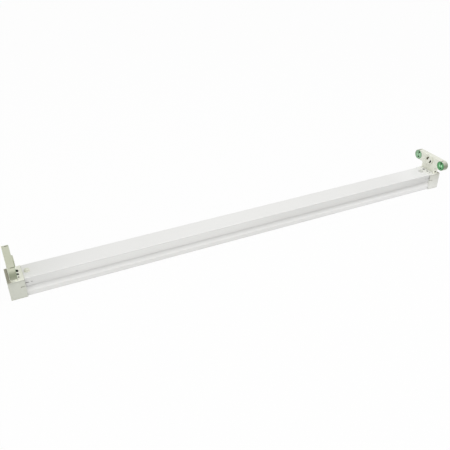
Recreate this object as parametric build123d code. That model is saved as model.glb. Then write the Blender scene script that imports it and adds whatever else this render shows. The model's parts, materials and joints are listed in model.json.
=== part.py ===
from build123d import *

import os
from math import cos, radians, sin

# Twin ceiling batten for two T8 LED tubes, lying on its mounting face.
# Millimetres. X runs along the tubes, Y across them, Z away from the ceiling.
# The origin is the centre of the mounting face. "Right" is +X and "front" is -Y.

# Lamps
TUBE_LENGTH = 1199.4
TUBE_END_PLAY = 0.9
LAMP_SPACING = 92.0
LAMP_Z = 81.6
PIN_PITCH = 12.7
PIN_LENGTH = 7.0
PIN_END_ROOM = 2.5
PIN_SLOT = 3.0
PIN_POCKET_RADIUS = 2.5

# Sheet steel tray and cover
SHEET = 0.8
BEND = 1.6
COVER_WIDTH = 56.0
COVER_TOP = 48.4
COVER_EDGE_Z = 26.6
COVER_LIP = 4.0
TRAY_RIDGE_PROUD = 0.4
TRAY_RIDGE_Z = 12.0
TRAY_FOOT_INSET = 0.8
TRAY_NECK_INSET = 5.1
TRAY_NECK_Z = 25.0
TRAY_TOP = 36.0
TRAY_IN_CAP = 12.0
COVER_END_GAP = 0.3
NOTCH_LENGTH = 7.0
NOTCH_HEIGHT = 1.8
NOTCH_Z = 36.2
DIMPLE_RADIUS = 1.2
DIMPLE_INSET = 14.0

# Ceiling fixing slots and cable entry
SLOT_SPACING = 900.0
SLOT_LENGTH = 12.0
SLOT_WIDTH = 5.0
BUSH_BORE_RADIUS = 5.5
BUSH_WALL = 1.8
BUSH_FLANGE = 2.6
BUSH_HEIGHT = 4.0
BUSH_FIT = 0.15

# End caps
CAP_LENGTH = 36.5
CAP_WALL = 1.8
CAP_TRAY_FIT = 0.35
CAP_ROUND = 1.4
CAP_EDGE = 0.6
CAP_SLOT_LENGTH = 11.0
CAP_SLOT_HEIGHT = 2.8
CAP_SLOT_Z = 29.8
CAP_SLOT_DEPTH = 1.4
CAP_GROOVE_DEPTH = 0.5
CAP_GROOVE_HEIGHT = 0.9
CAP_GROOVE_DROP = 2.2
CAP_TAB_LENGTH = 17.0
CAP_TAB_WIDTH = 36.0
CAP_TAB_THICKNESS = 2.2
TONGUE_LENGTH = 23.0
TONGUE_WIDTH = 40.0
COVE_RADIUS = 3.0
COVE_LIP = 0.8
COVE_EDGE = 0.6
COVE_WIDTH = 48.0
CAP_HOLE_INSET = 4.4
CAP_HOLES = ((10.0, 8.4, 5.0), (-4.2, 6.4, 3.8), (-16.0, 4.6, 2.4))
CAP_WEB = 0.9
CAP_WEB_LENGTH = 9.0

# T shaped lamp holders
HOLDER_DEPTH = 15.2
HOLDER_END_GAP = 6.5
HOLDER_WALL = 1.8
HOLDER_FRONT = 2.0
HOLDER_BACK = 2.0
HOLDER_ROUND = 0.8
HOLDER_FIT = 0.25
HOLDER_FOOT_Z = 31.0
BOSS_RADIUS = 14.5
STEM_INSET = 3.0
STEM_CORNER = 3.0
SHOULDER = 2.2
CATCH = 1.0
CATCH_HEIGHT = 2.0
WINDOW_LENGTH = 7.0
WINDOW_HEIGHT = 3.8
WINDOW_RISE = 2.8
ENTRY_SLOT = 3.0
HOLDER_POST_RADIUS = 3.0
HOLDER_POST_Y = 25.0
HOLDER_POST_RISE = 7.0

# Turning cores of the lamp holders
ROTOR_RADIUS = 11.6
ROTOR_FIT = 0.06
ROTOR_PROUD = 0.4
ROTOR_FACE_RADIUS = 13.2
ROTOR_FACE = 1.2
ROTOR_FACE_GAP = 0.3
ROTOR_FLANGE_RADIUS = 12.4
ROTOR_FLANGE = 1.8
ROTOR_PLAY = 0.15
ROTOR_RING_OUTER = 10.4
ROTOR_RING_INNER = 5.0
ROTOR_RING_DEPTH = 1.6
ROTOR_EDGE = 0.4
STOP_RADIUS = 0.9
STOP_OFFSET = 8.0

# Starter sockets in the holders
STARTER_RISE = 0.6
KEYHOLE_CIRCLE = 7.3
STARTER_BORE = 11.3
STARTER_COLLAR = 2.2
STARTER_PROUD = 3.0
STARTER_RECESS = 1.0
STARTER_FLOOR = 1.8
KEYHOLE_RADIUS = 3.2
KEYHOLE_SLOT = 4.8
KEYHOLE_START = 10.0
KEYHOLE_TURN = 52.0

# Contacts
STRIP = 0.5
LEAF_GAP = 16.0
LEAF_HEIGHT = 10.0
LEAF_CLEARANCE = 0.4
TAIL_WIDTH = 4.0
TAIL_GAP = 0.2
BUS_Z = 58.0
BUS_WIDTH = 3.0
STARTER_LEAF_Y = 9.5
STARTER_LEAF_HEIGHT = 8.0
STARTER_LEAF_FOOT = 4.0

# Screws
SMALL_SHANK = 1.2
SMALL_HEAD = 2.6
SMALL_HEAD_HEIGHT = 1.2
SMALL_LENGTH = 9.0
LARGE_SHANK = 1.7
LARGE_HEAD = 3.3
LARGE_HEAD_HEIGHT = 2.0
CAP_SCREW_INSET = 9.0
CAP_SCREW_SPACING = 22.0
SCREW_FIT = 0.1
HEAD_ROUND_RATIO = 0.6
RECESS_REACH_RATIO = 0.6
RECESS_WIDTH_RATIO = 0.22

# Cover knobs
KNOB_INSET = 10.0
KNOB_FLANGE_RADIUS = 6.8
KNOB_FLANGE = 1.5
KNOB_RADIUS = 5.6
KNOB_HEIGHT = 5.0
KNOB_FLUTES = 10
KNOB_FLUTE_RADIUS = 0.8
KNOB_SLOT_WIDTH = 1.4
KNOB_SLOT_DEPTH = 1.4
KNOB_SHANK = 2.0
KNOB_SHANK_LENGTH = 9.5
KNOB_THREAD_FIT = 0.1
KNOB_HOLE_FIT = 0.4
WASHER_RADIUS = 4.6
WASHER = 0.8
WASHER_ROOM = 0.5
INSERT_RADIUS = 4.0
INSERT_LENGTH = 7.0
INSERT_FIT = 0.03
INSERT_WALL = 2.4

# Terminal block and earth point
BLOCK_X = 44.0
BLOCK_LENGTH = 22.0
BLOCK_HEIGHT = 14.0
POLE_PITCH = 10.0
POLE_COUNT = 3
BLOCK_MARGIN = 1.0
BLOCK_ROUND = 1.4
BARREL_INSET = 1.0
BARREL_RADIUS = 2.6
BARREL_BORE = 1.7
BARREL_FIT = 0.05
CLAMP_SCREW_RADIUS = 1.4
CLAMP_SCREW_SPACING = 11.0
CLAMP_WELL_RADIUS = 2.2
CLAMP_SCREW_DROP = 1.4
CLAMP_SLOT = 0.5
EARTH_X = 104.0
TAG_RADIUS = 4.2
TAG = 0.8
TAG_NECK_LENGTH = 12.0
TAG_NECK_WIDTH = 4.0

# Wires
WIRE_RADIUS = 1.1
WIRE_Z = 3.2
WIRE_RISE_INSET = 7.4
WIRE_LEAD = 26.0
WIRE_IN_BARREL = 4.0
WIRE_BEND = 5.0
WIRE_EASY_BEND = 20.0
WIRE_EARTH_BEND = 10.0
WIRE_RISER_BEND = 6.0
CLIP_POSITIONS = (150.0, 300.0, 450.0)
CLIP_LENGTH = 8.0
CLIP_WALL = 1.4
CLIP_FIT = 0.1

# How far a cut runs past the faces that it opens, and how close counts as touching
OVERCUT = 1.0
NEAR = 0.01

# Places that follow from the driving dimensions
TRAY_RIDGE_WIDTH = COVER_WIDTH + 2 * TRAY_RIDGE_PROUD
TRAY_FOOT_WIDTH = TRAY_RIDGE_WIDTH - 2 * TRAY_FOOT_INSET
TRAY_NECK_WIDTH = TRAY_RIDGE_WIDTH - 2 * TRAY_NECK_INSET
FACE_X = TUBE_LENGTH / 2 + TUBE_END_PLAY
BACK_X = FACE_X + HOLDER_DEPTH
PLATE_X = BACK_X - HOLDER_BACK
END_X = BACK_X + HOLDER_END_GAP
CAP_X = END_X - CAP_LENGTH
CAP_TOP = COVER_TOP - SHEET
CAP_CEILING = CAP_TOP - CAP_WALL
CAP_INNER = TRAY_RIDGE_WIDTH / 2 + CAP_TRAY_FIT
CAP_HALF = CAP_INNER + CAP_WALL
TRAY_END = CAP_X + TRAY_IN_CAP
CAP_FLOOR_X = TRAY_END + CAP_TRAY_FIT
COVER_END = CAP_X - COVER_END_GAP
KNOB_X = COVER_END - KNOB_INSET
STEM = COVER_WIDTH / 2 - STEM_INSET
TAIL_Y = STEM - HOLDER_WALL - TAIL_GAP - TAIL_WIDTH
WIRE_Y = TAIL_Y + TAIL_WIDTH / 2
LAMP_YS = (-LAMP_SPACING / 2, LAMP_SPACING / 2)
ROTOR_FLANGE_X = FACE_X + HOLDER_FRONT + ROTOR_PLAY
ROTOR_BACK_X = ROTOR_FLANGE_X + ROTOR_FLANGE
STARTER_Z = LAMP_Z + STARTER_RISE
STARTER_RIM_X = FACE_X - STARTER_PROUD
STARTER_FLOOR_X = STARTER_RIM_X + STARTER_RECESS
STARTER_BACK_X = STARTER_FLOOR_X + STARTER_FLOOR
STRIP_X = PLATE_X - STRIP
HOLDER_POST_YS = (-HOLDER_POST_Y, HOLDER_POST_Y)
HOLDER_POST_Z = LAMP_Z + HOLDER_POST_RISE
TAB_TOP = SHEET + CAP_TAB_THICKNESS
CAP_SCREW_X = CAP_X + CAP_SCREW_INSET - CAP_TAB_LENGTH / 2
WASHER_RECESS = WASHER + WASHER_ROOM
INSERT_TOP = CAP_TOP - WASHER_RECESS
INSERT_BOTTOM = INSERT_TOP - INSERT_LENGTH
BLOCK_WIDTH = POLE_PITCH * POLE_COUNT + 2 * BLOCK_MARGIN
BARREL_Z = SHEET + BLOCK_HEIGHT / 2
POLE_YS = [POLE_PITCH * (i - (POLE_COUNT - 1) / 2) for i in range(POLE_COUNT)]
WIRE_RISER_X = FACE_X + WIRE_RISE_INSET
WIRE_START_X = BLOCK_X + BLOCK_LENGTH / 2 - WIRE_IN_BARREL


def block(x0, x1, y0, y1, z0, z1):
    """A box between two corners."""
    centre = Pos((x0 + x1) / 2, (y0 + y1) / 2, (z0 + z1) / 2)
    return centre * Box(x1 - x0, y1 - y0, z1 - z0)


def slab(sketch, x0, x1):
    """A sketch of (y, z) points made solid between two X positions."""
    return extrude(Plane.YZ.offset(x0) * sketch, x1 - x0)


def rod_x(y, z, radius, x0, x1):
    return slab(Pos(y, z) * Circle(radius), x0, x1)


def rod_z(x, y, radius, z0, z1):
    return extrude(Plane.XY.offset(z0) * Pos(x, y) * Circle(radius), z1 - z0)


def pan_screw(shank, head, head_height, length):
    """A pan head screw with a cross recess, its head standing on Z = 0."""
    dome = rod_z(0, 0, head, 0, head_height)
    dome = fillet(dome.edges().sort_by(Axis.Z)[-1], head_height * HEAD_ROUND_RATIO)
    reach = 2 * head * RECESS_REACH_RATIO
    width = head * RECESS_WIDTH_RATIO
    recess = Box(reach, width, head_height) + Box(width, reach, head_height)
    return dome + rod_z(0, 0, shank, -length, 0) - Pos(0, 0, head_height) * recess


def bent_sheet(points):
    """The section of a sheet whose outer face follows the points, with its thickness to their left."""
    return make_face(offset(FilletPolyline(*points, radius=BEND), SHEET, side=Side.LEFT).edges())


def at_both_ends(solid):
    """A piece for the right end, and the same piece turned round for the left end."""
    return {"right": solid, "left": Rot(0, 0, 180) * solid}


def floor_hole(x, y, radius):
    """A round cut through the tray floor."""
    return rod_z(x, y, radius, -OVERCUT, SHEET + OVERCUT)


def tray():
    side = [
        (TRAY_FOOT_WIDTH / 2, 0),
        (TRAY_RIDGE_WIDTH / 2, TRAY_RIDGE_Z),
        (TRAY_NECK_WIDTH / 2, TRAY_NECK_Z),
        (TRAY_NECK_WIDTH / 2, TRAY_TOP),
    ]
    section = bent_sheet([(-y, z) for y, z in reversed(side)] + side)
    solid = slab(section, -TRAY_END, TRAY_END)
    solid -= floor_hole(0, 0, BUSH_BORE_RADIUS + BUSH_WALL + BUSH_FIT)
    solid -= floor_hole(EARTH_X, 0, LARGE_SHANK + SCREW_FIT)
    for x in (-SLOT_SPACING / 2, SLOT_SPACING / 2):
        slot = Pos(x, 0) * SlotOverall(SLOT_LENGTH, SLOT_WIDTH)
        solid -= extrude(Plane.XY.offset(-OVERCUT) * slot, SHEET + 2 * OVERCUT)
    for x, y in cap_screw_places():
        solid -= floor_hole(x, y, LARGE_SHANK + SCREW_FIT)
    for y in block_screw_ys():
        solid -= floor_hole(BLOCK_X, y, SMALL_SHANK + SCREW_FIT)
    return solid


def cover():
    half = COVER_WIDTH / 2
    lip = half - COVER_LIP
    points = [
        (lip, COVER_EDGE_Z),
        (half, COVER_EDGE_Z),
        (half, COVER_TOP),
        (-half, COVER_TOP),
        (-half, COVER_EDGE_Z),
        (-lip, COVER_EDGE_Z),
    ]
    solid = slab(bent_sheet(points), -COVER_END, COVER_END)
    for side in (-1, 1):
        hole = KNOB_SHANK + KNOB_HOLE_FIT
        solid -= rod_z(side * KNOB_X, 0, hole, CAP_TOP - OVERCUT, COVER_TOP + OVERCUT)
        ends = sorted((side * (COVER_END - NOTCH_LENGTH), side * (COVER_END + OVERCUT)))
        heights = (NOTCH_Z - NOTCH_HEIGHT / 2, NOTCH_Z + NOTCH_HEIGHT / 2)
        solid -= block(*ends, -half - OVERCUT, half + OVERCUT, *heights)
        dimple = Pos(side * (COVER_END - DIMPLE_INSET), NOTCH_Z) * Circle(DIMPLE_RADIUS)
        solid -= extrude(Plane.XZ * dimple, COVER_WIDTH, both=True)
    return solid


def cap_screw_places():
    half = CAP_SCREW_SPACING / 2
    return [(x, y) for x in (-CAP_SCREW_X, CAP_SCREW_X) for y in (-half, half)]


def cap_shoulder():
    """The web on each side of the right end cap's mouth that fills the hollow beside the tray's neck."""
    neck = TRAY_NECK_WIDTH / 2 + CAP_TRAY_FIT
    outer = CAP_INNER + CAP_WALL / 2
    top = COVER_EDGE_Z + CAP_WALL
    points = [
        (CAP_INNER, TRAY_RIDGE_Z),
        (outer, TRAY_RIDGE_Z),
        (outer, top),
        (neck, top),
        (neck, TRAY_NECK_Z),
    ]
    web = slab(make_face(Polyline(*points, close=True)), CAP_X, CAP_X + CAP_WALL)
    return web + mirror(web, Plane.XZ)


def cap_shell():
    """The outer box of the right end cap, open towards the tray."""
    box = block(CAP_X, END_X, -CAP_HALF, CAP_HALF, 0, CAP_TOP)
    box = fillet(box.faces().sort_by(Axis.X)[-1].edges().filter_by(Axis.Z), CAP_ROUND)
    rim = box.faces().sort_by(Axis.Z)[-1].edges()
    box = fillet(rim.filter_by(lambda e: e.center().X > CAP_X + NEAR), CAP_EDGE)
    x0 = CAP_X - OVERCUT
    past = CAP_HALF + OVERCUT
    box -= block(x0, END_X - CAP_WALL, -CAP_INNER, CAP_INNER, CAP_WALL, CAP_CEILING)
    box -= block(x0, CAP_FLOOR_X, -CAP_INNER, CAP_INNER, -OVERCUT, CAP_WALL)
    box += cap_shoulder()
    slot_z = CAP_SLOT_Z - CAP_SLOT_HEIGHT / 2
    slot = block(x0, CAP_X + CAP_SLOT_LENGTH, -past, past, slot_z, slot_z + CAP_SLOT_HEIGHT)
    in_y = CAP_HALF - CAP_SLOT_DEPTH
    slot -= block(x0, END_X, -in_y, in_y, 0, CAP_TOP)
    groove_top = CAP_TOP - CAP_GROOVE_DROP
    groove = block(x0, END_X + OVERCUT, -past, past, groove_top - CAP_GROOVE_HEIGHT, groove_top)
    in_y = CAP_HALF - CAP_GROOVE_DEPTH
    core = block(x0, END_X - CAP_GROOVE_DEPTH, -in_y, in_y, 0, CAP_TOP)
    return box - slot - (groove - core)


def cap_tongue():
    """The shelf under the cover that takes the knob, with the boss for its threaded insert."""
    inner_x = CAP_X - TONGUE_LENGTH
    half = TONGUE_WIDTH / 2
    shelf = block(inner_x, CAP_X + OVERCUT, -half, half, CAP_CEILING, CAP_TOP)
    shelf = fillet(shelf.edges().filter_by(Axis.Z).group_by(Axis.X)[0], INSERT_RADIUS)
    boss = rod_z(KNOB_X, 0, INSERT_RADIUS + INSERT_WALL, INSERT_BOTTOM, CAP_TOP)
    bore = rod_z(KNOB_X, 0, INSERT_RADIUS + INSERT_FIT, INSERT_BOTTOM - OVERCUT, INSERT_TOP)
    recess = rod_z(KNOB_X, 0, WASHER_RADIUS + WASHER_ROOM, INSERT_TOP, CAP_TOP + OVERCUT)
    return shelf + boss - bore - recess


def cap_cove():
    """The curved buttress that backs the holder's stem on the tube side."""
    x1 = FACE_X - HOLDER_FIT
    x0 = x1 - COVE_LIP - COVE_RADIUS
    top = CAP_TOP + COVE_EDGE + COVE_RADIUS
    solid = block(x0, x1, -COVE_WIDTH / 2, COVE_WIDTH / 2, CAP_CEILING, top)
    hollow = Plane.XZ * Pos(x0, top) * Circle(COVE_RADIUS)
    return solid - extrude(hollow, COVE_WIDTH, both=True)


def end_cap():
    """The right end cap."""
    solid = cap_shell() + cap_tongue()
    tab_x = CAP_X + CAP_SCREW_INSET - CAP_TAB_LENGTH
    half = CAP_TAB_WIDTH / 2
    solid += block(tab_x, CAP_FLOOR_X + CAP_WALL, -half, half, SHEET, TAB_TOP)
    half = STEM + HOLDER_FIT
    heights = (CAP_CEILING - OVERCUT, CAP_TOP + OVERCUT)
    solid -= block(FACE_X - HOLDER_FIT, BACK_X + HOLDER_FIT, -half, half, *heights)
    web_x = FACE_X - HOLDER_FIT - CAP_WEB_LENGTH
    solid -= block(web_x, FACE_X, -half, half, CAP_CEILING - OVERCUT, CAP_TOP - CAP_WEB)
    solid += cap_cove()
    hole_x = FACE_X - CAP_HOLE_INSET
    for y, length, width in CAP_HOLES:
        oblong = Pos(hole_x, y) * Rot(0, 0, 90) * SlotOverall(length, width)
        solid -= extrude(Plane.XY.offset(heights[0]) * oblong, COVE_RADIUS + CAP_WALL + OVERCUT)
    for x, y in cap_screw_places():
        if x > 0:
            solid -= rod_z(x, y, LARGE_SHANK + SCREW_FIT, 0, TAB_TOP + OVERCUT)
    return solid


def holder_outline(inset, foot_z):
    """The T of a holder, drawn in Y and Z, drawn in all round by an inset."""
    radius = BOSS_RADIUS - inset
    outline = Pos(0, LAMP_Z) * Rectangle(LAMP_SPACING, 2 * radius)
    for y in LAMP_YS:
        outline += Pos(y, LAMP_Z) * Circle(radius)
    stem = STEM - inset
    outline += Pos(0, (foot_z + LAMP_Z) / 2) * Rectangle(2 * stem, LAMP_Z - foot_z)
    arm_z = LAMP_Z - radius
    low = [v for v in outline.vertices() if abs(v.Y - arm_z) < NEAR]
    corners = [v for v in low if abs(abs(v.X) - stem) < NEAR]
    return fillet(corners, STEM_CORNER + inset)


def keyholes():
    """The two slots that a starter's pins go into and turn in."""
    holes = Sketch()
    for start in (KEYHOLE_START, KEYHOLE_START + 180):
        arc = CenterArc((0, STARTER_Z), KEYHOLE_CIRCLE, start, KEYHOLE_TURN)
        holes += SlotArc(arc, KEYHOLE_SLOT)
        mouth = Vector(KEYHOLE_CIRCLE, 0).rotate(Axis.Z, start) + Vector(0, STARTER_Z)
        holes += Pos(mouth.X, mouth.Y) * Circle(KEYHOLE_RADIUS)
    return holes


def holder_shell():
    """The front half of the right holder, hollow towards its back."""
    solid = slab(holder_outline(0, HOLDER_FOOT_Z), FACE_X, PLATE_X)
    solid = fillet(solid.faces().sort_by(Axis.X)[0].outer_wire().edges(), HOLDER_ROUND)
    wall_x = FACE_X + HOLDER_FRONT
    solid -= slab(holder_outline(HOLDER_WALL, HOLDER_FOOT_Z - OVERCUT), wall_x, PLATE_X)
    for side in (-1, 1):
        ys = sorted((side * (STEM - HOLDER_WALL), side * (STEM + SHOULDER)))
        solid += block(wall_x, PLATE_X, *ys, CAP_TOP, CAP_TOP + SHOULDER)
        ys = sorted((side * (STEM - HOLDER_WALL), side * (STEM + CATCH)))
        catch_top = CAP_CEILING - HOLDER_FIT
        solid += block(wall_x, PLATE_X, *ys, catch_top - CATCH_HEIGHT, catch_top)
    window_x = (wall_x + PLATE_X - WINDOW_LENGTH) / 2
    window_z = CAP_TOP + WINDOW_RISE
    past = STEM + OVERCUT
    heights = (window_z, window_z + WINDOW_HEIGHT)
    solid -= block(window_x, window_x + WINDOW_LENGTH, -past, past, *heights)
    for y in HOLDER_POST_YS:
        solid += rod_x(y, HOLDER_POST_Z, HOLDER_POST_RADIUS, wall_x, PLATE_X)
        solid -= rod_x(y, HOLDER_POST_Z, SMALL_SHANK + SCREW_FIT, PLATE_X - SMALL_LENGTH, PLATE_X)
    cup = rod_x(0, STARTER_Z, STARTER_BORE + STARTER_COLLAR, STARTER_RIM_X, wall_x)
    solid += fillet(cup.edges().group_by(Axis.X)[0], HOLDER_ROUND)
    solid -= rod_x(0, STARTER_Z, STARTER_BORE, STARTER_RIM_X - OVERCUT, STARTER_FLOOR_X)
    solid -= rod_x(0, STARTER_Z, STARTER_BORE, STARTER_BACK_X, wall_x + OVERCUT)
    solid -= slab(keyholes(), STARTER_FLOOR_X - OVERCUT, STARTER_BACK_X + OVERCUT)
    entry_x = FACE_X + PIN_LENGTH + PIN_END_ROOM
    half = ENTRY_SLOT / 2
    for y in LAMP_YS:
        solid -= rod_x(y, LAMP_Z, ROTOR_RADIUS + ROTOR_FIT, FACE_X - OVERCUT, wall_x + OVERCUT)
        seat_x = FACE_X - ROTOR_PROUD + ROTOR_FACE + ROTOR_PLAY
        solid -= rod_x(y, LAMP_Z, ROTOR_FACE_RADIUS + ROTOR_FACE_GAP, FACE_X - OVERCUT, seat_x)
        top = LAMP_Z + BOSS_RADIUS + OVERCUT
        solid -= block(FACE_X - OVERCUT, entry_x, y - half, y + half, LAMP_Z, top)
    return solid


def holder_back():
    """The back plate of the right holder, with the stops that keep the turning cores in place."""
    solid = slab(holder_outline(0, HOLDER_FOOT_Z), PLATE_X, BACK_X)
    solid = fillet(solid.faces().sort_by(Axis.X)[-1].outer_wire().edges(), HOLDER_ROUND)
    for y in LAMP_YS:
        for stop_y in (y - STOP_OFFSET, y + STOP_OFFSET):
            for stop_z in (LAMP_Z - STOP_OFFSET, LAMP_Z + STOP_OFFSET):
                solid += rod_x(stop_y, stop_z, STOP_RADIUS, ROTOR_BACK_X + ROTOR_PLAY, PLATE_X)
    for y in HOLDER_POST_YS:
        solid -= rod_x(y, HOLDER_POST_Z, SMALL_SHANK + SCREW_FIT, PLATE_X - OVERCUT, BACK_X + OVERCUT)
        seat_x = BACK_X - SMALL_HEAD_HEIGHT
        solid -= rod_x(y, HOLDER_POST_Z, SMALL_HEAD + SCREW_FIT, seat_x, BACK_X + OVERCUT)
    return solid


def holder_screws():
    screw = pan_screw(SMALL_SHANK, SMALL_HEAD, SMALL_HEAD_HEIGHT, SMALL_LENGTH - HOLDER_BACK)
    seat_x = BACK_X - SMALL_HEAD_HEIGHT
    return Compound([Pos(seat_x, y, HOLDER_POST_Z) * Rot(0, 90, 0) * screw for y in HOLDER_POST_YS])


def rotor(y):
    """A turning core of the right holder, with its slot upright for a lamp to be put in."""
    front_x = FACE_X - ROTOR_PROUD
    solid = rod_x(y, LAMP_Z, ROTOR_FACE_RADIUS, front_x, front_x + ROTOR_FACE)
    solid += rod_x(y, LAMP_Z, ROTOR_RADIUS, front_x, ROTOR_FLANGE_X)
    solid -= rod_x(y, LAMP_Z, ROTOR_RING_OUTER, front_x, front_x + ROTOR_RING_DEPTH)
    solid += rod_x(y, LAMP_Z, ROTOR_RING_INNER, front_x, ROTOR_FLANGE_X)
    solid = chamfer(solid.edges().group_by(Axis.X)[0], ROTOR_EDGE)
    solid += rod_x(y, LAMP_Z, ROTOR_FLANGE_RADIUS, ROTOR_FLANGE_X, ROTOR_BACK_X)
    x0, x1 = front_x - OVERCUT, ROTOR_BACK_X + OVERCUT
    half = PIN_SLOT / 2
    low_z, high_z = LAMP_Z - PIN_PITCH / 2, LAMP_Z + PIN_PITCH / 2
    for z in (low_z, high_z):
        solid -= rod_x(y, z, PIN_POCKET_RADIUS, x0, x1)
    solid -= block(x0, x1, y - half, y + half, low_z, LAMP_Z + BOSS_RADIUS)
    return solid - rod_x(y, low_z, half, x0, x1)


def lamp_contacts():
    """The stamped strip that joins the pin contacts of the right holder's two lamps."""
    solid = block(STRIP_X, PLATE_X, -TAIL_Y, TAIL_Y, BUS_Z, BUS_Z + BUS_WIDTH)
    leaf_x = ROTOR_BACK_X + LEAF_CLEARANCE
    half = LEAF_GAP / 2 + STRIP
    low, high = LAMP_Z - LEAF_HEIGHT / 2, LAMP_Z + LEAF_HEIGHT / 2
    for y in LAMP_YS:
        side = 1 if y > 0 else -1
        solid += block(STRIP_X, PLATE_X, y - half, y + half, low, high)
        for edge in (-1, 1):
            ys = sorted((y + edge * LEAF_GAP / 2, y + edge * half))
            solid += block(leaf_x, PLATE_X, *ys, low, high)
        ys = sorted((side * TAIL_Y, y))
        solid += block(STRIP_X, PLATE_X, *ys, LAMP_Z - TAIL_WIDTH, LAMP_Z)
        ys = sorted((side * TAIL_Y, side * (TAIL_Y + TAIL_WIDTH)))
        solid += block(STRIP_X, PLATE_X, *ys, BUS_Z, LAMP_Z)
    shelf_x = WIRE_RISER_X - WIRE_RADIUS
    solid += block(shelf_x, PLATE_X, TAIL_Y, TAIL_Y + TAIL_WIDTH, BUS_Z, BUS_Z + STRIP)
    return solid


def starter_contacts():
    """The two leaves behind the keyholes of the right holder's starter socket."""
    leaves = []
    low, high = STARTER_Z - STARTER_LEAF_HEIGHT / 2, STARTER_Z + STARTER_LEAF_HEIGHT / 2
    leaf_x = STARTER_BACK_X + LEAF_CLEARANCE
    for side in (-1, 1):
        ys = sorted((side * STARTER_LEAF_Y, side * (STARTER_LEAF_Y + STRIP)))
        leaf = block(leaf_x, PLATE_X, *ys, low, high)
        ys = sorted((side * STARTER_LEAF_Y, side * (STARTER_LEAF_Y + STARTER_LEAF_FOOT)))
        leaves.append(leaf + block(STRIP_X, PLATE_X, *ys, low, high))
    return Compound(leaves)


def knob():
    """The right cover knob: a fluted head with a coin slot on a threaded shank."""
    head_top = COVER_TOP + KNOB_HEIGHT
    flange = rod_z(KNOB_X, 0, KNOB_FLANGE_RADIUS, COVER_TOP, COVER_TOP + KNOB_FLANGE)
    flange = fillet(flange.edges().sort_by(Axis.Z)[-1], KNOB_FLANGE / 2)
    grip = rod_z(KNOB_X, 0, KNOB_RADIUS, COVER_TOP, head_top)
    grip = fillet(grip.edges().sort_by(Axis.Z)[-1], KNOB_FLANGE)
    for i in range(KNOB_FLUTES):
        turn = radians(360 * i / KNOB_FLUTES)
        flute_x = KNOB_X + KNOB_RADIUS * cos(turn)
        flute_y = KNOB_RADIUS * sin(turn)
        grip -= rod_z(flute_x, flute_y, KNOB_FLUTE_RADIUS, COVER_TOP + KNOB_FLANGE, head_top)
    slot = Box(2 * KNOB_RADIUS, KNOB_SLOT_WIDTH, 2 * KNOB_SLOT_DEPTH)
    grip -= Pos(KNOB_X, 0, head_top) * slot
    return flange + grip + rod_z(KNOB_X, 0, KNOB_SHANK, COVER_TOP - KNOB_SHANK_LENGTH, COVER_TOP)


def knob_washer():
    """The ring under the cover that keeps the right knob captive."""
    ring = rod_z(KNOB_X, 0, WASHER_RADIUS, CAP_TOP - WASHER, CAP_TOP)
    return ring - rod_z(KNOB_X, 0, KNOB_SHANK, CAP_TOP - WASHER - OVERCUT, CAP_TOP + OVERCUT)


def knob_inserts():
    inserts = []
    for x in (-KNOB_X, KNOB_X):
        sleeve = rod_z(x, 0, INSERT_RADIUS, INSERT_BOTTOM, INSERT_TOP)
        bore = KNOB_SHANK + KNOB_THREAD_FIT
        inserts.append(sleeve - rod_z(x, 0, bore, INSERT_BOTTOM - OVERCUT, INSERT_TOP + OVERCUT))
    return Compound(inserts)


def end_cap_screws():
    screw = pan_screw(LARGE_SHANK, LARGE_HEAD, LARGE_HEAD_HEIGHT, TAB_TOP)
    return Compound([Pos(x, y, TAB_TOP) * screw for x, y in cap_screw_places()])


def cable_bush():
    """The bush that lines the cable entry, flush with the mounting face."""
    outer = BUSH_BORE_RADIUS + BUSH_WALL
    rim = rod_z(0, 0, outer + BUSH_FLANGE, SHEET, BUSH_HEIGHT)
    rim = fillet(rim.edges().sort_by(Axis.Z)[-1], BUSH_WALL / 2)
    bore = rod_z(0, 0, BUSH_BORE_RADIUS, -OVERCUT, BUSH_HEIGHT + OVERCUT)
    return rim + rod_z(0, 0, outer, 0, BUSH_HEIGHT) - bore


def block_screw_ys():
    return [(a + b) / 2 for a, b in zip(POLE_YS, POLE_YS[1:])]


def clamp_screw_places():
    half = CLAMP_SCREW_SPACING / 2
    return [(x, y) for x in (BLOCK_X - half, BLOCK_X + half) for y in POLE_YS]


def terminal_block():
    x0, x1 = BLOCK_X - BLOCK_LENGTH / 2, BLOCK_X + BLOCK_LENGTH / 2
    top = SHEET + BLOCK_HEIGHT
    solid = block(x0, x1, -BLOCK_WIDTH / 2, BLOCK_WIDTH / 2, SHEET, top)
    solid = fillet(solid.edges().filter_by(Axis.Z), BLOCK_ROUND)
    for y in POLE_YS:
        solid -= rod_x(y, BARREL_Z, BARREL_RADIUS + BARREL_FIT, x0 - OVERCUT, x1 + OVERCUT)
    for x, y in clamp_screw_places():
        solid -= rod_z(x, y, CLAMP_WELL_RADIUS, BARREL_Z, top + OVERCUT)
    for y in block_screw_ys():
        solid -= rod_z(BLOCK_X, y, SMALL_SHANK + SCREW_FIT, 0, top + OVERCUT)
        solid -= rod_z(BLOCK_X, y, SMALL_HEAD + SCREW_FIT, top - SMALL_HEAD_HEIGHT, top + OVERCUT)
    return solid


def terminal_barrels():
    barrels = []
    half = BLOCK_LENGTH / 2 - BARREL_INSET
    past = half + OVERCUT
    top = BARREL_Z + BARREL_RADIUS + OVERCUT
    for y in POLE_YS:
        barrel = rod_x(y, BARREL_Z, BARREL_RADIUS, BLOCK_X - half, BLOCK_X + half)
        barrel -= rod_x(y, BARREL_Z, BARREL_BORE, BLOCK_X - past, BLOCK_X + past)
        for x, screw_y in clamp_screw_places():
            if screw_y == y:
                barrel -= rod_z(x, y, CLAMP_SCREW_RADIUS + BARREL_FIT, BARREL_Z, top)
        barrels.append(barrel)
    return Compound(barrels)


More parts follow.
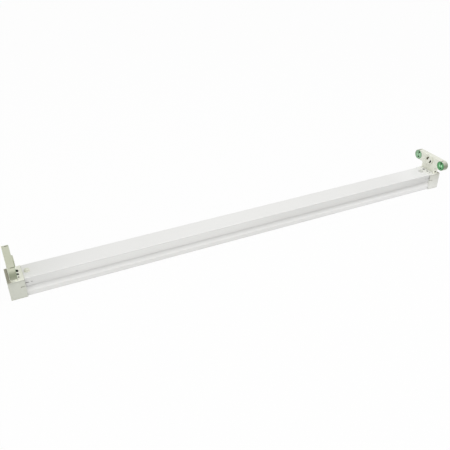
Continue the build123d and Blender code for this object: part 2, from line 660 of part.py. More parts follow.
def terminal_screws():
    """Slotted clamp screws, standing just clear of the wires."""
    foot = BARREL_Z + WIRE_RADIUS + SCREW_FIT
    top = SHEET + BLOCK_HEIGHT - CLAMP_SCREW_DROP
    slot = Box(2 * CLAMP_WELL_RADIUS, CLAMP_SLOT, 2 * CLAMP_SLOT)
    screws = []
    for x, y in clamp_screw_places():
        screw = rod_z(x, y, CLAMP_SCREW_RADIUS, foot, top)
        screws.append(screw - Pos(x, y, top) * slot)
    return Compound(screws)


def block_screws():
    seat = SHEET + BLOCK_HEIGHT - SMALL_HEAD_HEIGHT
    screw = pan_screw(SMALL_SHANK, SMALL_HEAD, SMALL_HEAD_HEIGHT, seat)
    return Compound([Pos(BLOCK_X, y, seat) * screw for y in block_screw_ys()])


def earth_tag():
    """A ring terminal on the tray floor, with the sleeve that grips the earth wire."""
    neck_x = EARTH_X - TAG_NECK_LENGTH
    solid = rod_z(EARTH_X, 0, TAG_RADIUS, SHEET, SHEET + TAG)
    solid += block(neck_x, EARTH_X, -TAG_NECK_WIDTH / 2, TAG_NECK_WIDTH / 2, SHEET, SHEET + TAG)
    sleeve_x = EARTH_X - TAG_RADIUS
    sleeve_z = SHEET + WIRE_RADIUS + TAG
    solid += rod_x(0, sleeve_z, WIRE_RADIUS + TAG, neck_x, sleeve_x)
    solid -= rod_x(0, sleeve_z, WIRE_RADIUS, neck_x - OVERCUT, sleeve_x - TAG)
    return solid - rod_z(EARTH_X, 0, LARGE_SHANK + SCREW_FIT, 0, SHEET + TAG + OVERCUT)


def earth_screw():
    seat = SHEET + TAG
    return Pos(EARTH_X, 0, seat) * pan_screw(LARGE_SHANK, LARGE_HEAD, LARGE_HEAD_HEIGHT, seat)


def wire(points, radii):
    """A round wire along straight runs joined by arcs."""
    path = FilletPolyline(*points, radius=radii)
    section = Plane(origin=path @ 0, z_dir=path % 0) * Circle(WIRE_RADIUS)
    return sweep(section, path=path)


def live_wire():
    y = POLE_YS[-1]
    points = [
        (WIRE_START_X, y, BARREL_Z),
        (WIRE_START_X + WIRE_LEAD, y, BARREL_Z),
        (WIRE_START_X + 2 * WIRE_LEAD, WIRE_Y, WIRE_Z),
        (WIRE_RISER_X, WIRE_Y, WIRE_Z),
        (WIRE_RISER_X, WIRE_Y, BUS_Z),
    ]
    return wire(points, [WIRE_EASY_BEND, WIRE_EASY_BEND, WIRE_RISER_BEND])


def neutral_wire():
    """From the terminals this wire turns back beside the block and runs to the left end."""
    y = POLE_YS[0]
    turn_x = WIRE_START_X + WIRE_LEAD
    points = [
        (WIRE_START_X, y, BARREL_Z),
        (turn_x, y, BARREL_Z),
        (turn_x, -WIRE_Y, WIRE_Z),
        (-WIRE_RISER_X, -WIRE_Y, WIRE_Z),
        (-WIRE_RISER_X, -WIRE_Y, BUS_Z),
    ]
    return wire(points, [WIRE_BEND, WIRE_BEND, WIRE_RISER_BEND])


def earth_wire():
    tag_x = EARTH_X - TAG_NECK_LENGTH
    end_x = EARTH_X - TAG_RADIUS - TAG
    sleeve_z = SHEET + WIRE_RADIUS + TAG
    points = [
        (WIRE_START_X, 0, BARREL_Z),
        ((WIRE_START_X + tag_x) / 2 - WIRE_BEND, 0, BARREL_Z),
        (tag_x - WIRE_BEND, 0, sleeve_z),
        (end_x, 0, sleeve_z),
    ]
    return wire(points, [WIRE_EARTH_BEND, WIRE_EARTH_BEND])


def wire_clips():
    """Saddle clips that hold the long wires along the tray floor."""
    outer = WIRE_RADIUS + CLIP_FIT + CLIP_WALL
    arch = Pos(0, WIRE_Z) * Circle(outer)
    arch += Pos(0, (SHEET + WIRE_Z) / 2) * Rectangle(2 * outer, WIRE_Z - SHEET)
    arch -= Pos(0, WIRE_Z) * Circle(WIRE_RADIUS + CLIP_FIT)
    clip = slab(arch, -CLIP_LENGTH / 2, CLIP_LENGTH / 2)
    clip &= block(-CLIP_LENGTH, CLIP_LENGTH, -outer, outer, SHEET, WIRE_Z + outer)
    live = [Pos(x, WIRE_Y) * clip for x in CLIP_POSITIONS]
    neutral = [Pos(-x, -WIRE_Y) * clip for x in CLIP_POSITIONS]
    return Compound(live + neutral)


def all_nodes():
    nodes = {
        "base_tray": tray(),
        "cover": cover(),
        "right_end_cap": end_cap(),
        "cable_bush": cable_bush(),
        "end_cap_screws": end_cap_screws(),
        "knob_inserts": knob_inserts(),
        "terminal_block": terminal_block(),
        "terminal_barrels": terminal_barrels(),
        "terminal_screws": terminal_screws(),
        "terminal_block_screws": block_screws(),
        "earth_tag": earth_tag(),
        "earth_screw": earth_screw(),
        "live_wire": live_wire(),
        "neutral_wire": neutral_wire(),
        "earth_wire": earth_wire(),
        "wire_clips": wire_clips(),
    }
    nodes["left_end_cap"] = mirror(nodes["right_end_cap"], about=Plane.YZ)
    turned = {
        "holder_shell": holder_shell(),
        "holder_back": holder_back(),
        "holder_screws": holder_screws(),
        "lamp_contacts": lamp_contacts(),
        "starter_contacts": starter_contacts(),
        "cover_knob": knob(),
        "knob_washer": knob_washer(),
    }
    for name, solid in turned.items():
        for end, piece in at_both_ends(solid).items():
            nodes[f"{end}_{name}"] = piece
    for y in LAMP_YS:
        for end, piece in at_both_ends(rotor(y)).items():
            front = (y < 0) == (end == "right")
            nodes[f"{end}_{'front' if front else 'rear'}_rotor"] = piece
    return nodes


os.makedirs("parts", exist_ok=True)
for node_name, node_solid in all_nodes().items():
    export_step(node_solid, f"parts/{node_name}.step")
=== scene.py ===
"""Looks of the twin LED tube light fixture: materials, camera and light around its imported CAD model."""

import json
import math

import bpy
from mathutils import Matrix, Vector

# Camera, fitted to the photograph (metres and degrees; lens and sensor in millimetres)
CAMERA_PLACE = (-0.6342, -1.1394, 0.8113)
CAMERA_TURN = 25.99
CAMERA_DOWN = 31.455
CAMERA_LENS = 45.915
SENSOR = 36.0

# Light and floor. A lamp has a name, a place, a size in metres and a power in watts.
SKY = (1.0, 0.995, 0.985)
SKY_STRENGTH = 0.68
LAMPS = (
    ("top", (0.15, -0.35, 1.8), 1.2, 11.0),
    ("left", (-2.4, -0.6, 0.5), 1.0, 12.0),
    ("front", (0.1, -2.4, 0.9), 1.6, 7.5),
)
AIM = (0.0, 0.0, 0.05)
FLOOR_SIZE = 12.0
FLOOR_DROP = 0.0005
FLOOR_GLOW = 0.96

# Places on the part that the materials follow (metres). A pair is where a change starts and ends.
END_TO_END_X = (-0.55, 0.55)
RIGHT_HALF_X = (0.0, 0.55)
COVER_END_X = 0.5855
SIDE_END_X = (0.46, COVER_END_X)
SIDE_RIGHT_X = (-0.06, 0.08)
TOP_RIGHT_X = (0.46, 0.55)
SEAM_RIGHT_X = (COVER_END_X - 0.012, COVER_END_X - 0.006)
CAP_MOUTH_X = (COVER_END_X, COVER_END_X + 0.004)
HOLDER_FACE_X = 0.6006
HOLDER_BACK_X = 0.6158
UNDER_HOLDER_X = (HOLDER_FACE_X, HOLDER_BACK_X)
BEHIND_HOLDER_X = (HOLDER_BACK_X - 0.002, HOLDER_BACK_X)
STRIP_TOP_Z = (0.012, 0.020)
SEAM_Z = 0.0262
BELOW_SEAM_Z = (SEAM_Z - 0.013, SEAM_Z)
ABOVE_SEAM_Z = (SEAM_Z, SEAM_Z + 0.010)
SIDE_FOOT_Z = (SEAM_Z - 0.0002, SEAM_Z + 0.0004)
SIDE_TOP_Z = (0.0445, 0.0475)
BEND_FOOT_Z = (0.0455, 0.0466)
BEND_TOP_Z = (0.0480, 0.0483)
TOP_FACE_Z = (0.0478, 0.0483)
DECK_Z = 0.0476
DECK_EDGE_Z = (DECK_Z - 0.0006, DECK_Z - 0.0001)
DECK_UNDERSIDE_Z = (DECK_Z - 0.0035, DECK_Z - 0.0030)
CAP_SIDE_Z = (0.008, DECK_Z - 0.0006)
BUTTRESS_Z = (DECK_Z + 0.0003, DECK_Z + 0.0015)
HOLDER_FOOT_Z = (0.058, 0.064)
STEM_SIDE_Y = (0.0235, 0.0247)
ARM_END_Y = (0.045, 0.055)
LEFT_ARM_TOP_Z = (0.0952, 0.0882)
RIGHT_ARM_TOP_Z = (0.0970, 0.0850)
ARM_UNDERSIDE_Z = (0.0825, 0.0715)
LAMP_Y = 0.046
LAMP_Z = 0.0816
FRONT_TO_REAR_Y = (-LAMP_Y, LAMP_Y)
HUB_RADIUS = 0.0050
RING_RADIUS = 0.0104
PIN_OFFSET = 0.00635
PIN_POCKET = 0.0027
HOLE_BLUR = 0.0004
CORE_BLUR = 0.0004
POCKET_BLUR = 0.0003
STRIPE_EDGE_Y = (-0.00004, 0.00004)
STRIPE_WANDER = 0.0012

# Holes in each cap's top: Y of the middle, half of the straight part, end radius, width of the painted shade
# around it
CAP_HOLE_X = 0.5962
CAP_HOLES = (
    (0.0100, 0.0017, 0.0025, 0.0007),
    (-0.0042, 0.0013, 0.0019, 0.0004),
    (-0.0160, 0.0011, 0.0012, 0.0),
)

# How much of a tint is mixed in, 0 to 1. A pair is for the two ends of a change or of a noise.
PAINT_SPECKLE = 0.10
STRIP_PAINTED_LIGHT = 0.65
SIDE_END_PAINTED_SHADE = 0.24
SIDE_RIGHT_PAINTED_SHADE = 0.12
BEND_SHADE = 0.22
TOP_PAINTED_LIGHT = 0.5
SEAM_PAINTED_SHADE = 0.21
PAINT_GRIME_AND_SHADE = (0.12, 0.34)
MOULDING_CLOUDS = (0.0, 0.25)
MOULDING_GRIME_AND_SHADE = (0.40, 0.60)
EDGE_WEAR = 0.25
CAP_SIDE_SHADE = 0.42
DECK_PAINTED_LIGHT = 0.70
DECK_PAINTED_SHADOW = 0.72
BUTTRESS_SHADE = 0.26
HOLE_PAINTED_SHADE = (1.0, 0.1)
LEFT_ARM_PAINTED_SHADE = (0.0, 0.78)
RIGHT_ARM_PAINTED_SHADE = (0.33, 0.95)
ARM_UNDERSIDE_PAINTED_SHADE = 0.50
FOOT_PAINTED_LIGHT = 0.9
CORE_CLOUDS = (0.0, 0.3)
CORE_EDGE_WEAR = 0.4
CORE_REAR_PALENESS = 0.45
METAL_EDGE_WEAR = 0.5

# The part of a noise's range that is stretched over the whole of a change
NOISE_RANGE = (0.3, 0.7)
NOISE_MIDDLE = 0.5
SPECKLE_RANGE = (0.60, 0.72)
STAIN_RANGE = (0.35, 0.65)
BLOOM_RANGE = (0.4, 0.7)

# Scale of a noise along X, Y and Z. Less than 1 draws it out.
PLAIN = (1.0, 1.0, 1.0)
PAINT_GRAIN = (0.25, 1.0, 1.0)
BRASS_GRAIN = (1.0, 0.2, 1.0)
TIN_GRAIN = (0.3, 1.0, 1.0)
WIRE_GRAIN = (0.1, 1.0, 1.0)
WIRE_MARKS = (0.08, 1.0, 1.0)

# Roughness. A pair is its least and its most.
PAPER_ROUGHNESS = 0.9
PAINT_ROUGHNESS = (0.34, 0.46)
MOULDING_ROUGHNESS = (0.40, 0.55)
CORE_ROUGHNESS = (0.22, 0.36)
METAL_ROUGHNESS = (0.24, 0.42)
WIRE_ROUGHNESS = (0.30, 0.42)
RUBBER_ROUGHNESS = (0.62, 0.80)
NYLON_ROUGHNESS = (0.36, 0.50)

# Colours, linear
PAPER = (0.78, 0.78, 0.77)
PAPER_SHADE = (0.74, 0.74, 0.73)
PAINT = (0.80, 0.80, 0.79)
PAINT_SHADE = (0.765, 0.767, 0.755)
PAINT_DIRT_AND_SHADE = (0.42, 0.42, 0.42)
PAINT_EDGE = (0.84, 0.84, 0.83)
PAINT_PAINTED_LIGHT = (0.905, 0.905, 0.91)
CAP_LEFT = (0.595, 0.61, 0.545)
CAP_RIGHT = (0.85, 0.855, 0.825)
CAP_SHADE = (0.72, 0.73, 0.67)
CAP_PAINTED_LIGHT = (0.93, 0.935, 0.84)
CAP_DIRT_AND_SHADE = (0.40, 0.40, 0.31)
CAP_PAINTED_SHADOW = (0.30, 0.28, 0.20)
CAP_HOLE = (0.012, 0.012, 0.010)
HOLDER_LEFT = (0.51, 0.53, 0.41)
HOLDER_RIGHT = (0.79, 0.80, 0.715)
HOLDER_SHADE = (0.66, 0.67, 0.56)
HOLDER_DIRT_AND_SHADE = (0.27, 0.28, 0.17)
HOLDER_PAINTED_SHADE = (0.19, 0.215, 0.14)
ROTOR = (0.15, 0.44, 0.19)
ROTOR_RIM = (0.06, 0.27, 0.09)
ROTOR_PALER = (0.52, 0.66, 0.52)
ROTOR_HUB = (0.48, 0.92, 0.55)
ROTOR_POCKET = (0.008, 0.045, 0.014)
KNOB_LEFT = (0.80, 0.81, 0.715)
KNOB_RIGHT = (0.65, 0.66, 0.63)
KNOB_SHADE = (0.69, 0.70, 0.61)
BRASS = (0.72, 0.53, 0.22)
BRASS_DULL = (0.50, 0.36, 0.15)
ZINC = (0.70, 0.71, 0.70)
ZINC_DULL = (0.52, 0.53, 0.50)
TIN = (0.76, 0.75, 0.71)
TIN_DULL = (0.60, 0.59, 0.56)
BROWN = (0.115, 0.045, 0.02)
BROWN_SHADE = (0.09, 0.035, 0.016)
BLUE = (0.02, 0.09, 0.38)
BLUE_SHADE = (0.016, 0.07, 0.31)
GREEN = (0.05, 0.26, 0.03)
YELLOW = (0.78, 0.62, 0.03)
RUBBER = (0.022, 0.022, 0.021)
RUBBER_SHADE = (0.04, 0.039, 0.037)
NYLON = (0.78, 0.77, 0.70)
NYLON_SHADE = (0.72, 0.71, 0.63)

# Blender: the Mix node's sockets for colours, and the cosines between a flat face and a worn edge
MIX_AMOUNT, MIX_FIRST, MIX_SECOND, MIX_RESULT = 0, 6, 7, 2
EDGE_COSINES = (0.99, 0.80)


class Look:
    """A material under construction: its node tree, with a short call for each step that the looks share."""

    def __init__(self, name):
        self.material = bpy.data.materials.new(name)
        self.material.use_nodes = True
        self.tree = self.material.node_tree
        self.shader = self.tree.nodes["Principled BSDF"]
        self.place = self.add("ShaderNodeTexCoord").outputs["Object"]
        self.normal = None

    def add(self, kind, inputs=None, **settings):
        node = self.tree.nodes.new(kind)
        for name, value in settings.items():
            setattr(node, name, value)
        for name, value in (inputs or {}).items():
            self.join(value, node.inputs[name])
        return node

    def join(self, value, socket):
        if isinstance(value, bpy.types.NodeSocket):
            self.tree.links.new(value, socket)
        elif socket.type == "RGBA":
            socket.default_value = (*value, 1.0)
        else:
            socket.default_value = value

    def math(self, operation, first, second=0.0):
        return self.add("ShaderNodeMath", {0: first, 1: second}, operation=operation).outputs[0]

    def times(self, product, *others):
        for other in others:
            product = self.math("MULTIPLY", product, other)
        return product

    def length(self, first, second):
        """The length of a line that goes this far along two axes."""
        return self.math("SQRT", self.math("ADD", self.times(first, first), self.times(second, second)))

    def remap(self, value, low, high, to_low, to_high):
        inputs = {"Value": value, "From Min": low, "From Max": high, "To Min": to_low, "To Max": to_high}
        return self.add("ShaderNodeMapRange", inputs).outputs[0]

    def mix(self, amount, first, second):
        node = self.add("ShaderNodeMix", data_type="RGBA")
        self.join(amount, node.inputs[MIX_AMOUNT])
        self.join(first, node.inputs[MIX_FIRST])
        self.join(second, node.inputs[MIX_SECOND])
        return node.outputs[MIX_RESULT]

    def axis(self, letter):
        return self.add("ShaderNodeSeparateXYZ", {0: self.place}).outputs[letter]

    def outwards(self, letter):
        """The distance from the part's middle along an axis."""
        return self.math("ABSOLUTE", self.axis(letter))

    def ramp(self, letter, places, start, end):
        """Goes from start to end between two places on an axis, and keeps these values beyond them."""
        return self.remap(self.axis(letter), *places, start, end)

    def noise(self, scale, detail=2.0, stretch=PLAIN):
        """A cloudy value from 0 to 1. The scale is in features per metre."""
        place = self.place
        if stretch != PLAIN:
            place = self.add("ShaderNodeMapping", {"Vector": place, "Scale": stretch}).outputs[0]
        inputs = {"Vector": place, "Scale": scale, "Detail": detail}
        return self.add("ShaderNodeTexNoise", inputs).outputs["Fac"]

    def clouds(self, span, scale, detail, stretch=PLAIN):
        """A cloudy value that fills a span."""
        return self.remap(self.noise(scale, detail, stretch), *NOISE_RANGE, *span)

    def crevices(self, reach):
        """1 in corners and slots, 0 on open faces. The reach is in metres."""
        open_sky = self.add("ShaderNodeAmbientOcclusion", {"Distance": reach}, samples=12).outputs["AO"]
        return self.math("SUBTRACT", 1.0, open_sky)

    def round_edges(self, radius):
        """Softens the sharp edges' shading, and gives 1 along those edges and 0 away from them."""
        self.normal = self.add("ShaderNodeBevel", {"Radius": radius}, samples=6).outputs[0]
        true_normal = self.add("ShaderNodeNewGeometry").outputs["True Normal"]
        dot = self.add("ShaderNodeVectorMath", {0: self.normal, 1: true_normal}, operation="DOT_PRODUCT")
        return self.remap(dot.outputs["Value"], *EDGE_COSINES, 0.0, 1.0)

    def emboss(self, height, strength, distance):
        inputs = {"Strength": strength, "Distance": distance, "Height": height}
        if self.normal is not None:
            inputs["Normal"] = self.normal
        self.normal = self.add("ShaderNodeBump", inputs).outputs[0]

    def finish(self, colour, roughness, constants=None):
        """Sends the results to the shader. Values that are the same all over go straight on its sockets."""
        self.join(colour, self.shader.inputs["Base Color"])
        self.join(roughness, self.shader.inputs["Roughness"])
        if self.normal is not None:
            self.join(self.normal, self.shader.inputs["Normal"])
        for name, value in (constants or {}).items():
            self.shader.inputs[name].default_value = value
        return self.material


def powder_coat(name):
    """White stoved paint on sheet steel: faint orange peel, grime and painted shade in corners, painted shade
    along the seam.

    The cover's side has painted shade at its ends and in its right half, and along the bend to its top.
    The tray's low strip and the cover's top have painted light towards the right end, and the painted shade
    and grime stop just before it.
    """
    look = Look(name)
    edge = look.round_edges(radius=0.0005)
    colour = look.mix(look.noise(scale=9, detail=3), PAINT, PAINT_SHADE)
    speckle = look.remap(look.noise(scale=1500, detail=1), *SPECKLE_RANGE, 0.0, PAINT_SPECKLE)
    colour = look.mix(speckle, colour, PAINT_DIRT_AND_SHADE)
    # Painted light on the tray's low strip, stronger towards the right end.
    strip = look.ramp("Z", STRIP_TOP_Z, 1.0, 0.0)
    painted_light = look.ramp("X", RIGHT_HALF_X, 0.0, STRIP_PAINTED_LIGHT)
    colour = look.mix(look.times(strip, painted_light), colour, PAINT_PAINTED_LIGHT)
    # Painted shade on the cover's side: darker at both ends and over its right half.
    side = look.times(look.ramp("Z", SIDE_FOOT_Z, 0.0, 1.0), look.ramp("Z", SIDE_TOP_Z, 1.0, 0.0))
    darker_ends = look.remap(look.outwards("X"), *SIDE_END_X, 0.0, SIDE_END_PAINTED_SHADE)
    darker = look.math("ADD", darker_ends, look.ramp("X", SIDE_RIGHT_X, 0.0, SIDE_RIGHT_PAINTED_SHADE))
    colour = look.mix(look.times(side, darker), colour, PAINT_DIRT_AND_SHADE)
    # Painted shade along the bend from the cover's side to its top.
    bend = look.times(look.ramp("Z", BEND_FOOT_Z, 0.0, BEND_SHADE), look.ramp("Z", BEND_TOP_Z, 1.0, 0.0))
    colour = look.mix(bend, colour, PAINT_DIRT_AND_SHADE)
    # Painted light on the cover's top near the right end.
    top = look.ramp("Z", TOP_FACE_Z, 0.0, 1.0)
    painted_light = look.ramp("X", TOP_RIGHT_X, 0.0, TOP_PAINTED_LIGHT)
    colour = look.mix(look.times(top, painted_light), colour, PAINT_PAINTED_LIGHT)
    # Painted shade along the seam between cover and tray, stopping just before the right cap's mouth.
    away_from_mouth = look.ramp("X", SEAM_RIGHT_X, 1.0, 0.0)
    seam = look.times(look.ramp("Z", ABOVE_SEAM_Z, 1.0, 0.0), look.ramp("Z", BELOW_SEAM_Z, 0.0, SEAM_PAINTED_SHADE))
    colour = look.mix(look.times(seam, away_from_mouth), colour, PAINT_DIRT_AND_SHADE)
    # Cloudy grime with painted shade in corners and slots, taken from the occlusion there.
    grime_and_shade = look.times(look.crevices(reach=0.006), look.clouds(PAINT_GRIME_AND_SHADE, scale=60, detail=3), away_from_mouth)
    colour = look.mix(grime_and_shade, colour, PAINT_DIRT_AND_SHADE)
    colour = look.mix(look.times(edge, EDGE_WEAR), colour, PAINT_EDGE)
    look.emboss(look.noise(scale=420), strength=0.10, distance=0.0004)
    roughness = look.clouds(PAINT_ROUGHNESS, scale=30, detail=4, stretch=PAINT_GRAIN)
    return look.finish(colour, roughness, {"Specular IOR Level": 0.5})


def moulded_colour(look, left, right, shade, dirt_and_shade, reach):
    """Cloudy tint that changes from end to end, grime and painted shade in corners beyond the cover, rubbed
    on edges.
    """
    edge = look.round_edges(radius=0.0006)
    colour = look.mix(look.ramp("X", END_TO_END_X, 0.0, 1.0), left, right)
    colour = look.mix(look.clouds(MOULDING_CLOUDS, scale=22, detail=4), colour, shade)
    beyond = look.remap(look.outwards("X"), *CAP_MOUTH_X, 0.0, 1.0)
    # Cloudy grime with painted shade in corners beyond the cover, taken from the occlusion there.
    grime_and_shade = look.times(look.crevices(reach), look.clouds(MOULDING_GRIME_AND_SHADE, scale=120, detail=3), beyond)
    colour = look.mix(grime_and_shade, colour, dirt_and_shade)
    return look.mix(look.times(edge, EDGE_WEAR), colour, right)


def finish_moulding(look, colour, texture):
    """Spark-eroded texture and the soft shine of thermoplastic."""
    look.emboss(look.noise(texture), strength=0.16, distance=0.00025)
    roughness = look.clouds(MOULDING_ROUGHNESS, scale=200, detail=3)
    return look.finish(colour, roughness, {"Specular IOR Level": 0.45})


def knob_moulding(name):
    """Moulded thermoplastic of the cover knobs, greyer at the right end."""
    look = Look(name)
    colour = moulded_colour(look, KNOB_LEFT, KNOB_RIGHT, KNOB_SHADE, CAP_DIRT_AND_SHADE, reach=0.006)
    return finish_moulding(look, colour, texture=1200)


def cap_moulding(name):
    """Moulded thermoplastic of the end caps.

    The right cap's sides have painted shade towards its deck. The left deck has painted light before the
    holder, both decks a painted shadow behind it, the buttresses painted shade, and the holes painted shade,
    mostly at the left end.
    """
    look = Look(name)
    colour = moulded_colour(look, CAP_LEFT, CAP_RIGHT, CAP_SHADE, CAP_DIRT_AND_SHADE, reach=0.007)
    # Painted shade on the right cap's sides, growing towards the deck.
    right = look.ramp("X", END_TO_END_X, 0.0, 1.0)
    side = look.times(look.ramp("Z", CAP_SIDE_Z, 0.0, CAP_SIDE_SHADE), look.ramp("Z", DECK_EDGE_Z, 1.0, 0.0))
    colour = look.mix(look.times(right, side), colour, CAP_DIRT_AND_SHADE)
    # Painted light on the deck before the holder, strongest at the left end.
    deck = look.ramp("Z", DECK_EDGE_Z, 0.0, 1.0)
    outwards = look.outwards("X")
    left_painted_light = look.ramp("X", END_TO_END_X, DECK_PAINTED_LIGHT, 0.0)
    before_holder = look.remap(outwards, *UNDER_HOLDER_X, 1.0, 0.0)
    colour = look.mix(look.times(deck, left_painted_light, before_holder), colour, CAP_PAINTED_LIGHT)
    # Painted shadow on the deck strip behind the holder.
    behind_shadow = look.remap(outwards, *BEHIND_HOLDER_X, 0.0, DECK_PAINTED_SHADOW)
    colour = look.mix(look.times(deck, behind_shadow), colour, CAP_PAINTED_SHADOW)
    # Painted shade on the cap above its deck, that is on the buttresses.
    colour = look.mix(look.ramp("Z", BUTTRESS_Z, 0.0, BUTTRESS_SHADE), colour, CAP_DIRT_AND_SHADE)
    # Painted shade: the holes and a ring around them are painted near black, mostly at the left end.
    hole_shade = look.times(look.ramp("Z", DECK_UNDERSIDE_Z, 0.0, 1.0), look.ramp("X", END_TO_END_X, *HOLE_PAINTED_SHADE))
    across = look.math("SUBTRACT", outwards, CAP_HOLE_X)
    for y, straight, radius, ring in CAP_HOLES:
        along = look.math("ABSOLUTE", look.math("SUBTRACT", look.axis("Y"), y))
        along = look.math("MAXIMUM", look.math("SUBTRACT", along, straight), 0.0)
        reach = radius + ring
        hole = look.remap(look.length(across, along), reach, reach + HOLE_BLUR, 1.0, 0.0)
        colour = look.mix(look.times(hole, hole_shade), colour, CAP_HOLE)
    return finish_moulding(look, colour, texture=900)


def holder_moulding(name):
    """The lamp holders' thermoplastic, with painted shade on the lower ends of its arms and painted light at
    its foot.
    """
    look = Look(name)
    colour = moulded_colour(look, HOLDER_LEFT, HOLDER_RIGHT, HOLDER_SHADE, HOLDER_DIRT_AND_SHADE, reach=0.025)
    outwards = look.outwards("Y")
    # Painted shade on the ends of the arms, growing downwards and easing off again at their undersides.
    arm_end = look.remap(outwards, *ARM_END_Y, 0.0, 1.0)
    left = look.ramp("Z", LEFT_ARM_TOP_Z, *LEFT_ARM_PAINTED_SHADE)
    right = look.ramp("Z", RIGHT_ARM_TOP_Z, *RIGHT_ARM_PAINTED_SHADE)
    upper = look.ramp("X", END_TO_END_X, left, right)
    lower = look.ramp("Z", ARM_UNDERSIDE_Z, 1.0, ARM_UNDERSIDE_PAINTED_SHADE)
    colour = look.mix(look.times(arm_end, upper, lower), colour, HOLDER_PAINTED_SHADE)
    # Painted light along the sides of the stem's foot.
    foot = look.ramp("Z", HOLDER_FOOT_Z, FOOT_PAINTED_LIGHT, 0.0)
    beside = look.remap(outwards, *STEM_SIDE_Y, 0.0, 1.0)
    colour = look.mix(look.times(foot, beside), colour, CAP_PAINTED_LIGHT)
    return finish_moulding(look, colour, texture=900)


def distance(look, y, z):
    """The distance in Y and Z from a place, the same on both sides of the part's middle."""
    across = look.math("SUBTRACT", look.outwards("Y"), y)
    up = look.math("SUBTRACT", look.axis("Z"), z)
    return look.length(across, up)


def green_core(name):
    """Glossy green core: a darker rim and a lighter hub as painted shade and light, pin pockets painted near
    black as shade. The rear cores are paler.
    """
    look = Look(name)
    edge = look.round_edges(radius=0.0004)
    radius = distance(look, LAMP_Y, LAMP_Z)
    # Painted shade and light: a darker rim and a lighter hub in place of the shading on the core's relief.
    rim = look.remap(radius, RING_RADIUS, RING_RADIUS + CORE_BLUR, 0.0, 1.0)
    colour = look.mix(rim, ROTOR, ROTOR_RIM)
    hub = look.remap(radius, HUB_RADIUS, HUB_RADIUS + CORE_BLUR, 1.0, 0.0)
    colour = look.mix(hub, colour, ROTOR_HUB)
    colour = look.mix(look.clouds(CORE_CLOUDS, scale=300, detail=3), colour, ROTOR_RIM)
    colour = look.mix(look.times(edge, CORE_EDGE_WEAR), colour, ROTOR_HUB)
    # Paler towards the rear cores.
    colour = look.mix(look.ramp("Y", FRONT_TO_REAR_Y, 0.0, CORE_REAR_PALENESS), colour, ROTOR_PALER)
    # Painted shade: the pin pockets are painted near black.
    for offset in (-PIN_OFFSET, PIN_OFFSET):
        away = distance(look, LAMP_Y, LAMP_Z + offset)
        pocket = look.remap(away, PIN_POCKET, PIN_POCKET + POCKET_BLUR, 1.0, 0.0)
        colour = look.mix(pocket, colour, ROTOR_POCKET)
    look.emboss(look.noise(scale=700), strength=0.08, distance=0.0002)
    return look.finish(colour, look.clouds(CORE_ROUGHNESS, scale=400, detail=3))


def metal(name, bright, darker, grain=PLAIN):
    """Plated or stamped metal: drawn marks, handling stains and brighter edges."""
    look = Look(name)
    edge = look.round_edges(radius=0.0002)
    stain = look.remap(look.noise(scale=350, detail=4), *STAIN_RANGE, 0.0, 1.0)
    colour = look.mix(stain, bright, darker)
    colour = look.mix(look.times(edge, METAL_EDGE_WEAR), colour, bright)
    look.emboss(look.noise(scale=2600, stretch=grain), strength=0.12, distance=0.0001)
    roughness = look.clouds(METAL_ROUGHNESS, scale=900, detail=3, stretch=grain)
    return look.finish(colour, roughness, {"Metallic": 1.0})


def finish_insulation(look, colour):
    """Faint marks along the wire and a soft shine."""
    look.emboss(look.noise(scale=1800, stretch=WIRE_MARKS), strength=0.10, distance=0.0001)
    roughness = look.clouds(WIRE_ROUGHNESS, scale=500, detail=2)
    return look.finish(colour, roughness, {"Coat Weight": 0.1})


def insulation(name, light, shade):
    """Extruded wire insulation with a faint grain along the wire."""
    look = Look(name)
    colour = look.mix(look.noise(scale=260, detail=3, stretch=WIRE_GRAIN), light, shade)
    return finish_insulation(look, colour)


def striped_insulation(name):
    """Green earth wire with a yellow stripe along it."""
    look = Look(name)
    wander = look.math("SUBTRACT", look.noise(scale=40, detail=1), NOISE_MIDDLE)
    place = look.math("ADD", look.axis("Y"), look.times(wander, STRIPE_WANDER))
    stripe = look.remap(place, *STRIPE_EDGE_Y, 0.0, 1.0)
    return finish_insulation(look, look.mix(stripe, GREEN, YELLOW))


def rubber(name):
    """Black rubber with a dusty bloom."""
    look = Look(name)
    bloom = look.remap(look.noise(scale=500, detail=4), *BLOOM_RANGE, 0.0, 1.0)
    colour = look.mix(bloom, RUBBER, RUBBER_SHADE)
    look.emboss(look.noise(scale=1600), strength=0.2, distance=0.0002)
    roughness = look.clouds(RUBBER_ROUGHNESS, scale=250, detail=3)
    return look.finish(colour, roughness, {"Specular IOR Level": 0.35})


def nylon(name):
    """Natural nylon: waxy, slightly see-through, with a fine mould texture."""
    look = Look(name)
    look.round_edges(radius=0.0004)
    colour = look.mix(look.noise(scale=130, detail=3), NYLON, NYLON_SHADE)
    look.emboss(look.noise(scale=1400), strength=0.12, distance=0.0002)
    roughness = look.clouds(NYLON_ROUGHNESS, scale=300, detail=3)
    glow = {"Subsurface Weight": 0.2, "Subsurface Scale": 0.5, "Subsurface Radius": (0.002, 0.0017, 0.0012)}
    return look.finish(colour, roughness, glow)


def make_materials():
    return {
        "white_paint": powder_coat("white_paint"),
        "cap_plastic": cap_moulding("cap_plastic"),
        "holder_plastic": holder_moulding("holder_plastic"),
        "rotor_green": green_core("rotor_green"),
        "knob_plastic": knob_moulding("knob_plastic"),
        "contact_brass": metal("contact_brass", BRASS, BRASS_DULL, BRASS_GRAIN),
        "screw_steel": metal("screw_steel", ZINC, ZINC_DULL),
        "tag_steel": metal("tag_steel", TIN, TIN_DULL, TIN_GRAIN),
        "wire_brown": insulation("wire_brown", BROWN, BROWN_SHADE),
        "wire_blue": insulation("wire_blue", BLUE, BLUE_SHADE),
        "wire_green": striped_insulation("wire_green"),
        "bush_rubber": rubber("bush_rubber"),
        "terminal_plastic": nylon("terminal_plastic"),
        "clip_nylon": nylon("clip_nylon"),
    }


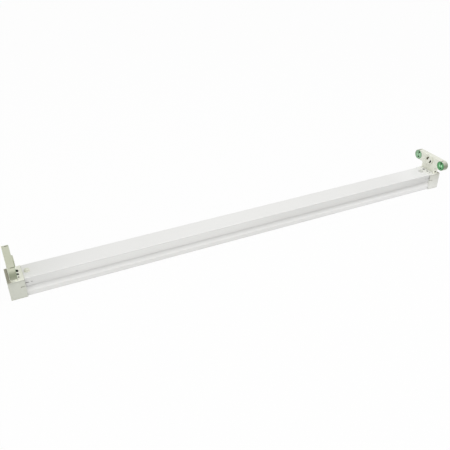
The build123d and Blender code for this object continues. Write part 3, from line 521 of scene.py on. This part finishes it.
def dress(frame):
    """Gives every CAD node the material of its slot."""
    materials = make_materials()
    for subpart in frame["record"]["subparts"]:
        for place in frame["nodes"][subpart["node"]].material_slots:
            place.material = materials[subpart["material_slot"]]


def area_light(name, place, size, power):
    light = bpy.data.lights.new(name, "AREA")
    light.shape = "DISK"
    light.size = size
    light.energy = power
    lamp = bpy.data.objects.new(name, light)
    lamp.location = place
    lamp.rotation_euler = (Vector(AIM) - Vector(place)).to_track_quat("-Z", "Y").to_euler()
    bpy.context.scene.collection.objects.link(lamp)


def seen_directly(tree):
    """1 for what the camera, a reflection or clear material sees, 0 for light on its way to the part."""
    path = tree.nodes.new("ShaderNodeLightPath")
    total = path.outputs["Is Camera Ray"]
    for name in ("Is Glossy Ray", "Is Transmission Ray"):
        larger = tree.nodes.new("ShaderNodeMath")
        larger.operation = "MAXIMUM"
        tree.links.new(total, larger.inputs[0])
        tree.links.new(path.outputs[name], larger.inputs[1])
        total = larger.outputs[0]
    return total


def set_world():
    """A white studio backdrop that lights the part like a large soft box."""
    world = bpy.data.worlds.new("studio")
    bpy.context.scene.world = world
    world.use_nodes = True
    tree = world.node_tree
    soft = tree.nodes["Background"]
    soft.inputs["Color"].default_value = (*SKY, 1.0)
    soft.inputs["Strength"].default_value = SKY_STRENGTH
    backdrop = tree.nodes.new("ShaderNodeBackground")
    backdrop.inputs["Color"].default_value = (1.0, 1.0, 1.0, 1.0)
    mix = tree.nodes.new("ShaderNodeMixShader")
    tree.links.new(seen_directly(tree), mix.inputs[0])
    tree.links.new(soft.outputs[0], mix.inputs[1])
    tree.links.new(backdrop.outputs[0], mix.inputs[2])
    tree.links.new(mix.outputs[0], tree.nodes["World Output"].inputs["Surface"])


def set_floor():
    """A white paper floor just under the mounting face."""
    half = FLOOR_SIZE / 2
    sides = ((-half, -half), (half, -half), (half, half), (-half, half))
    mesh = bpy.data.meshes.new("floor")
    mesh.from_pydata([(x, y, -FLOOR_DROP) for x, y in sides], [], [(0, 1, 2, 3)])
    floor = bpy.data.objects.new("floor", mesh)
    bpy.context.scene.collection.objects.link(floor)
    look = Look("floor_paper")
    look.emboss(look.noise(scale=900, detail=3), strength=0.05, distance=0.0002)
    paper = look.finish(look.mix(look.noise(scale=40, detail=3), PAPER, PAPER_SHADE), PAPER_ROUGHNESS)
    tree = look.tree
    glow = tree.nodes.new("ShaderNodeEmission")
    mix = tree.nodes.new("ShaderNodeMixShader")
    share = look.times(seen_directly(tree), FLOOR_GLOW)
    tree.links.new(share, mix.inputs[0])
    tree.links.new(look.shader.outputs[0], mix.inputs[1])
    tree.links.new(glow.outputs[0], mix.inputs[2])
    tree.links.new(mix.outputs[0], tree.nodes["Material Output"].inputs["Surface"])
    mesh.materials.append(paper)


def set_camera():
    camera = bpy.data.cameras.new("camera")
    camera.sensor_width = SENSOR
    camera.lens = CAMERA_LENS
    rig = bpy.data.objects.new("camera", camera)
    rig.location = CAMERA_PLACE
    rig.rotation_euler = (math.radians(90 - CAMERA_DOWN), 0.0, math.radians(-CAMERA_TURN))
    bpy.context.scene.collection.objects.link(rig)
    bpy.context.scene.camera = rig


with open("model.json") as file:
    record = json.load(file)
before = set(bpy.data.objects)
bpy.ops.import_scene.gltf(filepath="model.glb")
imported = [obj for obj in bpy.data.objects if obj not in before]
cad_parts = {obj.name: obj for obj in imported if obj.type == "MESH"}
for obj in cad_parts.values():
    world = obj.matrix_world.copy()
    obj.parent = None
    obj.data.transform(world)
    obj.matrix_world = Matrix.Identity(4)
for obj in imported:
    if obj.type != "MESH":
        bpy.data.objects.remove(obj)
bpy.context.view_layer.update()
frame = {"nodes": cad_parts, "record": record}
bpy.context.scene.view_settings.view_transform = "Standard"
dress(frame)
set_world()
set_floor()
for lamp in LAMPS:
    area_light(*lamp)
set_camera()
